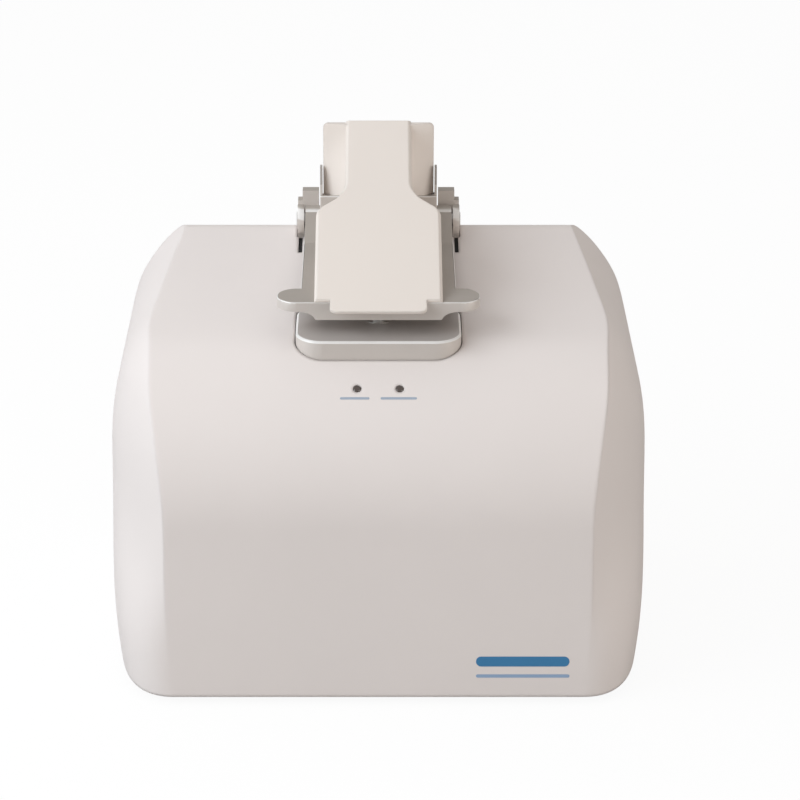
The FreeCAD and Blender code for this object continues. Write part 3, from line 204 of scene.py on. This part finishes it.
def finish_material(name, colour, roughness, grain=900.0, depth=0.02, variation=0.03, metallic=0.0,
                    coat=0.0, stretch=(1, 1, 1), facing=None, round_edge=0.0):
    """A finish with soft patches of tone, uneven gloss and a fine grain, its depth in millimetres.
    facing gives the painted light and shade of painted_light_by_facing, and round_edge softens edges in
    shading, in millimetres."""
    material = bpy.data.materials.new(name)
    material.use_nodes = True
    tree = material.node_tree
    shader = tree.nodes["Principled BSDF"]
    place = tree.nodes.new("ShaderNodeTexCoord").outputs["Object"]
    patches = noise(tree, place, PATCH_SCALE, detail=4.0)
    dark, light = scaled(colour, 1 - variation), scaled(colour, 1 + variation)
    tone = ramp(tree, patches, dark, light, NOISE_LOW, NOISE_HIGH)
    # Painted light and shade by facing, multiplied into the tone
    if facing:
        blend = tree.nodes.new("ShaderNodeMix")
        blend.data_type = "RGBA"
        blend.blend_type = "MULTIPLY"
        blend.inputs["Factor"].default_value = 1.0
        tree.links.new(tone, blend.inputs["A"])
        tree.links.new(painted_light_by_facing(tree, *facing), blend.inputs["B"])
        tone = blend.outputs["Result"]
    tree.links.new(tone, shader.inputs["Base Color"])
    gloss = noise(tree, place, GLOSS_SCALE, detail=5.0, stretch=stretch)
    uneven = span(tree, gloss, roughness - GLOSS_SPREAD, roughness + GLOSS_SPREAD)
    tree.links.new(uneven, shader.inputs["Roughness"])
    fine = noise(tree, place, grain, detail=2.0, stretch=stretch)
    bump = tree.nodes.new("ShaderNodeBump")
    bump.inputs["Strength"].default_value = 1.0
    bump.inputs["Distance"].default_value = depth * MM
    tree.links.new(fine, bump.inputs["Height"])
    if round_edge:
        edge = tree.nodes.new("ShaderNodeBevel")
        edge.inputs["Radius"].default_value = round_edge * MM
        tree.links.new(edge.outputs["Normal"], bump.inputs["Normal"])
    tree.links.new(bump.outputs["Normal"], shader.inputs["Normal"])
    shader.inputs["Metallic"].default_value = metallic
    shader.inputs["Coat Weight"].default_value = coat
    return material


def cast_finish_with_painted_light(name, amount, level=LEVEL_SHADE_GREY):
    """The painted castings, with painted light: painted shade on level faces, upright ones lighter as
    painted reflection, and a painted highlight on each edge.
    """
    facing = [scaled(tone, amount) for tone in (UPRIGHT_GREY, EDGE_HIGHLIGHT_GREY, level)]
    return finish_material(name, CASTING_BASE, 0.40, grain=1100.0, depth=0.030, variation=0.035,
                           metallic=0.12, facing=facing)


FINISHES = {
    "cover_white": finish_material("cover_white", WARM_WHITE, 0.46, grain=1400.0, depth=0.012,
                                   variation=0.012, round_edge=2.0),
    "arm_white": finish_material("arm_white", ARM_WHITE, 0.42, grain=1400.0, depth=0.010,
                                 variation=0.012, round_edge=1.1),
    # The castings carry painted reflection, painted shade and a painted edge highlight
    "arm_grey": cast_finish_with_painted_light("arm_grey", 1.0),
    "platform_grey": cast_finish_with_painted_light("platform_grey", 1.0, DECK_GREY),
    "yoke_grey": cast_finish_with_painted_light("yoke_grey", 1.05),
    "chassis_steel": finish_material("chassis_steel", DARK_GREY, 0.55, depth=0.05),
    "panel_grey": finish_material("panel_grey", scaled(DARK_GREY, 1.2), 0.5, depth=0.05),
    "foot_rubber": finish_material("foot_rubber", (0.020, 0.020, 0.021), 0.85, grain=700.0, depth=0.05),
    "seal_rubber": finish_material("seal_rubber", (0.012, 0.012, 0.012), 0.8, depth=0.03),
    "bumper_rubber": finish_material("bumper_rubber", (0.030, 0.029, 0.028), 0.75, depth=0.03),
    "fixing_steel": finish_material("fixing_steel", (0.55, 0.55, 0.55), 0.32, metallic=1.0, depth=0.01),
    "pin_steel": finish_material("pin_steel", (0.70, 0.69, 0.67), 0.28, metallic=1.0, depth=0.008),
    "pedestal_steel": finish_material("pedestal_steel", (0.66, 0.66, 0.66), 0.18, metallic=1.0, depth=0.004),
    "guide_brass": finish_material("guide_brass", (0.62, 0.60, 0.57), 0.3, metallic=1.0, depth=0.006),
    "bush_bronze": finish_material("bush_bronze", (0.55, 0.36, 0.17), 0.4, metallic=1.0, depth=0.01),
    "frame_aluminium": finish_material("frame_aluminium", (0.60, 0.61, 0.62), 0.4, metallic=1.0,
                                       stretch=(1, 12, 12)),
    "module_black": finish_material("module_black", (0.016, 0.016, 0.018), 0.5, metallic=0.3),
    "lamp_alloy": finish_material("lamp_alloy", (0.45, 0.46, 0.48), 0.35, metallic=1.0),
    "motor_steel": finish_material("motor_steel", (0.020, 0.020, 0.022), 0.45),
    "board_green": finish_material("board_green", (0.010, 0.090, 0.035), 0.35, coat=0.4),
    "led_clear": finish_material("led_clear", (0.085, 0.066, 0.058), 0.2, coat=0.5, depth=0.004),
    "fibre_jacket": finish_material("fibre_jacket", (0.02, 0.025, 0.06), 0.5),
    "magnet_nickel": finish_material("magnet_nickel", (0.68, 0.67, 0.64), 0.2, metallic=1.0, depth=0.004),
    "socket_black": finish_material("socket_black", (0.012, 0.012, 0.013), 0.5),
    "usb_shell": finish_material("usb_shell", (0.62, 0.62, 0.63), 0.3, metallic=1.0),
    "rocker_black": finish_material("rocker_black", (0.012, 0.012, 0.013), 0.3, coat=0.3, depth=0.01),
}


def dress_cad_nodes():
    """Gives each CAD node the finish of its slot."""
    for row in frame["record"]["subparts"]:
        for slot in nodes[row["node"]].material_slots:
            slot.material = FINISHES[row["material_slot"]]


def soften(name, width, choose=None):
    """Small round edges on a CAD node, by modifiers alone: all its sharp edges, or the chosen ones."""
    obj = nodes[name]
    weld = obj.modifiers.new("weld", "WELD")
    weld.merge_threshold = NEAR
    if choose:
        obj.modifiers.new("chosen_edges", "NODES").node_group = choose()
    bevel = obj.modifiers.new("edges", "BEVEL")
    bevel.width = width
    bevel.segments = ROUNDING_SEGMENTS
    bevel.harden_normals = True
    bevel.limit_method = "WEIGHT" if choose else "ANGLE"
    bevel.angle_limit = SHARP_ANGLE
    bevel.use_clamp_overlap = not choose


def arm_outline_edges():
    """Weighs the sharp edges round the arm plate's top and along the top of its rear wall."""
    group = bpy.data.node_groups.new("arm_outline_edges", "GeometryNodeTree")
    group.interface.new_socket("Geometry", in_out="INPUT", socket_type="NodeSocketGeometry")
    group.interface.new_socket("Geometry", in_out="OUTPUT", socket_type="NodeSocketGeometry")

    def maths(operation, *values):
        node = group.nodes.new("ShaderNodeMath")
        node.operation = operation
        for socket, value in zip(node.inputs, values):
            if isinstance(value, float):
                socket.default_value = value
            else:
                group.links.new(value, socket)
        return node.outputs["Value"]

    split = group.nodes.new("ShaderNodeSeparateXYZ")
    group.links.new(group.nodes.new("GeometryNodeInputPosition").outputs["Position"], split.inputs["Vector"])
    x, y, z = (split.outputs[axis] for axis in "XYZ")
    outer = maths("MAXIMUM", maths("GREATER_THAN", maths("ABSOLUTE", x), ARM_OUTLINE_X),
                  maths("LESS_THAN", y, ARM_OUTLINE_Y))
    outline = maths("MULTIPLY", outer, maths("COMPARE", z, ARM_TOP, NEAR))
    wall = maths("MULTIPLY", maths("GREATER_THAN", y, REAR_WALL_Y),
                 maths("COMPARE", z, REAR_WALL_TOP, NEAR))
    angle = group.nodes.new("GeometryNodeInputMeshEdgeAngle").outputs["Unsigned Angle"]
    sharp = maths("GREATER_THAN", angle, SHARP_ANGLE)
    weight = maths("MULTIPLY", sharp, maths("MAXIMUM", outline, wall))
    store = group.nodes.new("GeometryNodeStoreNamedAttribute")
    store.data_type = "FLOAT"
    store.domain = "EDGE"
    store.inputs["Name"].default_value = "bevel_weight_edge"
    group.links.new(group.nodes.new("NodeGroupInput").outputs["Geometry"], store.inputs["Geometry"])
    group.links.new(weight, store.inputs["Value"])
    group.links.new(store.outputs["Geometry"], group.nodes.new("NodeGroupOutput").inputs["Geometry"])
    return group


def make_riser_plates():
    """Two bevelled plates that stand on the arm beside the foot of the tower."""
    for side, sign in (("left", -1), ("right", 1)):
        corners = []
        for x in (RISER_INNER, RISER_OUTER):
            for y in (RISER_FRONT, RISER_FRONT + RISER_THICKNESS):
                for z in (ARM_TOP, RISER_TOP):
                    corners.append((sign * x, y, z))
        faces = [(0, 1, 3, 2), (4, 6, 7, 5), (0, 4, 5, 1), (2, 3, 7, 6), (0, 2, 6, 4), (1, 5, 7, 3)]
        if sign < 0:
            faces = [face[::-1] for face in faces]
        mesh = bpy.data.meshes.new("riser_plate_" + side)
        mesh.from_pydata(corners, [], faces)
        mesh.materials.append(FINISHES["arm_grey"])
        plate = bpy.data.objects.new("riser_plate_" + side, mesh)
        bpy.context.scene.collection.objects.link(plate)
        bevel = plate.modifiers.new("edges", "BEVEL")
        bevel.width = RISER_BEVEL
        bevel.segments = RISER_SEGMENTS
        bevel.harden_normals = True
        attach(plate, "arm")


def make_camera():
    """The camera of the photograph, with its picture shifted so that the housing stands left of centre."""
    data = bpy.data.cameras.new("camera")
    data.sensor_width = SENSOR_WIDTH
    data.lens = CAMERA_FOCAL_PIXELS * SENSOR_WIDTH / IMAGE_PIXELS
    data.shift_x = (IMAGE_PIXELS / 2 - TARGET_PIXEL_X) / IMAGE_PIXELS
    data.clip_start, data.clip_end = CAMERA_REACH
    camera = bpy.data.objects.new("camera", data)
    bpy.context.scene.collection.objects.link(camera)
    away = Vector((0.0, -math.cos(CAMERA_ELEVATION), math.sin(CAMERA_ELEVATION)))
    camera.location = CAMERA_TARGET + away * CAMERA_DISTANCE
    camera.rotation_euler = (math.radians(90.0) - CAMERA_ELEVATION, 0.0, 0.0)
    bpy.context.scene.camera = camera


def area_lamp(name, place, size, power, colour):
    """A soft lamp that points at the housing. Its power is in watts."""
    data = bpy.data.lights.new(name, "AREA")
    data.shape = "RECTANGLE"
    data.size, data.size_y = size
    data.energy = power
    data.color = colour
    lamp = bpy.data.objects.new(name, data)
    bpy.context.scene.collection.objects.link(lamp)
    lamp.location = place
    lamp.rotation_euler = (LIGHT_TARGET - Vector(place)).to_track_quat("-Z", "Y").to_euler()


def make_light():
    """A cool lamp from the left, a broad warm one from the right and a weak one from above."""
    area_lamp("key", (-0.98, -0.46, 0.70), size=(1.0, 1.0), power=11.5, colour=(0.895, 0.952, 1.0))
    area_lamp("fill", (1.55, -1.05, 0.25), size=(1.6, 1.0), power=13.0, colour=(1.0, 0.95, 0.90))
    area_lamp("overhead", (-0.5, 0.7, 1.2), size=(1.2, 0.8), power=2.6, colour=(0.98, 0.985, 1.0))


def make_world():
    """A plain studio: a little brighter on the left, warmer on the right, and white to the camera."""
    world = bpy.data.worlds.new("studio")
    bpy.context.scene.world = world
    world.use_nodes = True
    tree = world.node_tree
    background = tree.nodes["Background"]
    seen = tree.nodes.new("ShaderNodeLightPath")
    either = tree.nodes.new("ShaderNodeMath")
    either.operation = "MAXIMUM"
    tree.links.new(seen.outputs["Is Camera Ray"], either.inputs[0])
    tree.links.new(seen.outputs["Is Transmission Ray"], either.inputs[1])
    strength = tree.nodes.new("ShaderNodeMapRange")
    strength.inputs["To Min"].default_value = WORLD_STRENGTH
    strength.inputs["To Max"].default_value = 1.0
    tree.links.new(either.outputs["Value"], strength.inputs["Value"])
    tree.links.new(strength.outputs["Result"], background.inputs["Strength"])
    split = tree.nodes.new("ShaderNodeSeparateXYZ")
    tree.links.new(tree.nodes.new("ShaderNodeTexCoord").outputs["Generated"], split.inputs["Vector"])
    side = tree.nodes.new("ShaderNodeMapRange")
    side.inputs["From Min"].default_value = -1.0
    side.inputs["From Max"].default_value = 1.0
    tree.links.new(split.outputs["X"], side.inputs["Value"])
    walls = ramp(tree, side.outputs["Result"], LEFT_WALL, RIGHT_WALL)
    colour = tree.nodes.new("ShaderNodeMix")
    colour.data_type = "RGBA"
    tree.links.new(either.outputs["Value"], colour.inputs["Factor"])
    tree.links.new(walls, colour.inputs["A"])
    colour.inputs["B"].default_value = (1.0, 1.0, 1.0, 1.0)
    tree.links.new(colour.outputs["Result"], background.inputs["Color"])


def make_floor():
    """A floor that is nearly white to the camera and keeps a soft shadow."""
    mesh = bpy.data.meshes.new("floor")
    half = FLOOR_HALF
    corners = [(-half, -half, 0), (half, -half, 0), (half, half, 0), (-half, half, 0)]
    mesh.from_pydata(corners, [], [(0, 1, 2, 3)])
    floor = bpy.data.objects.new("floor", mesh)
    bpy.context.scene.collection.objects.link(floor)
    material = bpy.data.materials.new("floor_white")
    material.use_nodes = True
    tree = material.node_tree
    shader = tree.nodes["Principled BSDF"]
    shader.inputs["Roughness"].default_value = 0.9
    shader.inputs["Specular IOR Level"].default_value = 0.1
    glow = tree.nodes.new("ShaderNodeEmission")
    seen = tree.nodes.new("ShaderNodeLightPath")
    share = tree.nodes.new("ShaderNodeMath")
    share.operation = "MULTIPLY"
    colour = tree.nodes.new("ShaderNodeMix")
    colour.data_type = "RGBA"
    colour.inputs["A"].default_value = (*FLOOR_COLOUR, 1.0)
    colour.inputs["B"].default_value = (1.0, 1.0, 1.0, 1.0)
    tree.links.new(seen.outputs["Is Camera Ray"], colour.inputs["Factor"])
    tree.links.new(colour.outputs["Result"], shader.inputs["Base Color"])
    share.inputs[1].default_value = FLOOR_GLOW
    tree.links.new(seen.outputs["Is Camera Ray"], share.inputs[0])
    blend = tree.nodes.new("ShaderNodeMixShader")
    tree.links.new(share.outputs["Value"], blend.inputs["Fac"])
    tree.links.new(shader.outputs["BSDF"], blend.inputs[1])
    tree.links.new(glow.outputs["Emission"], blend.inputs[2])
    tree.links.new(blend.outputs["Shader"], tree.nodes["Material Output"].inputs["Surface"])
    mesh.materials.append(material)


def surface_of(name):
    """A CAD node's surface, ready for rays."""
    mesh = nodes[name].data
    points = [vertex.co.copy() for vertex in mesh.vertices]
    faces = [tuple(polygon.vertices) for polygon in mesh.polygons]
    return BVHTree.FromPolygons(points, faces)


def seen_from_camera(surface, pixel_x, pixel_y):
    """The point of a surface that the camera sees at one pixel, and the surface's normal there."""
    right = Vector((1.0, 0.0, 0.0))
    ahead = Vector((0.0, math.cos(CAMERA_ELEVATION), -math.sin(CAMERA_ELEVATION)))
    up = right.cross(ahead)
    across = (pixel_x - TARGET_PIXEL_X) / CAMERA_FOCAL_PIXELS
    rise = (IMAGE_PIXELS / 2 - pixel_y) / CAMERA_FOCAL_PIXELS
    eye = CAMERA_TARGET - ahead * CAMERA_DISTANCE
    hit, normal, _, _ = surface.ray_cast(eye, (ahead + right * across + up * rise).normalized())
    return hit, normal if normal.dot(ahead) < 0 else -normal


def printed_bar(name, surface, across, down, material):
    """A round-ended bar of ink laid on a surface: a grid of points, each on the surface."""
    left, right = across
    top, bottom = down
    round_end = min(0.5, (bottom - top) / (right - left) / 2)
    points = []
    for i in range(BAR_COLUMNS + 1):
        share = 0.5 - 0.5 * math.cos(math.pi * i / BAR_COLUMNS)
        reach = min(1.0, min(share, 1 - share) / round_end)
        height = max(BAR_LEAST_HEIGHT, math.sqrt(1 - (1 - reach) ** 2))
        for j in range(BAR_ROWS + 1):
            level = (top + bottom) / 2 + (j / BAR_ROWS - 0.5) * (bottom - top) * height
            hit, normal = seen_from_camera(surface, left + (right - left) * share, level)
            points.append(hit + normal * INK_THICKNESS)
    faces = []
    for i in range(BAR_COLUMNS):
        for j in range(BAR_ROWS):
            a = i * (BAR_ROWS + 1) + j
            faces.append((a, a + 1, a + BAR_ROWS + 2, a + BAR_ROWS + 1))
    mesh = bpy.data.meshes.new(name)
    mesh.from_pydata([tuple(point) for point in points], [], faces)
    mesh.materials.append(material)
    for polygon in mesh.polygons:
        polygon.use_smooth = True
    bar = bpy.data.objects.new(name, mesh)
    bpy.context.scene.collection.objects.link(bar)
    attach(bar, "housing")


def ink(name, colour, roughness):
    """A thin even print."""
    return finish_material(name, colour, roughness, grain=1400.0, depth=0.006, variation=0.04)


def make_prints():
    """Plain blue bars: a thin one under each lamp, and a pair low on the right of the front."""
    label = ink("label_ink", LABEL_BLUE, 0.45)
    caption = ink("caption_ink", CAPTION_BLUE, 0.5)
    pale = ink("pale_ink", PALE_BLUE, 0.5)
    surface = surface_of("top_cover")
    printed_bar("lamp_bar_left", surface, LEFT_LAMP_BAR_X, LAMP_BAR_Y, pale)
    printed_bar("lamp_bar_right", surface, RIGHT_LAMP_BAR_X, LAMP_BAR_Y, pale)
    printed_bar("front_bar", surface, FRONT_BAR_X, FRONT_BAR_Y, label)
    printed_bar("front_line", surface, FRONT_BAR_X, FRONT_LINE_Y, caption)


dress_cad_nodes()
soften("hinge_yoke", CASTING_ROUNDING)
soften("arm_frame", ARM_ROUNDING, choose=arm_outline_edges)
make_riser_plates()
soften("sample_platform", CASTING_ROUNDING)
make_prints()
make_camera()
make_world()
make_light()
make_floor()

scene = bpy.context.scene
scene.view_settings.view_transform = "Standard"
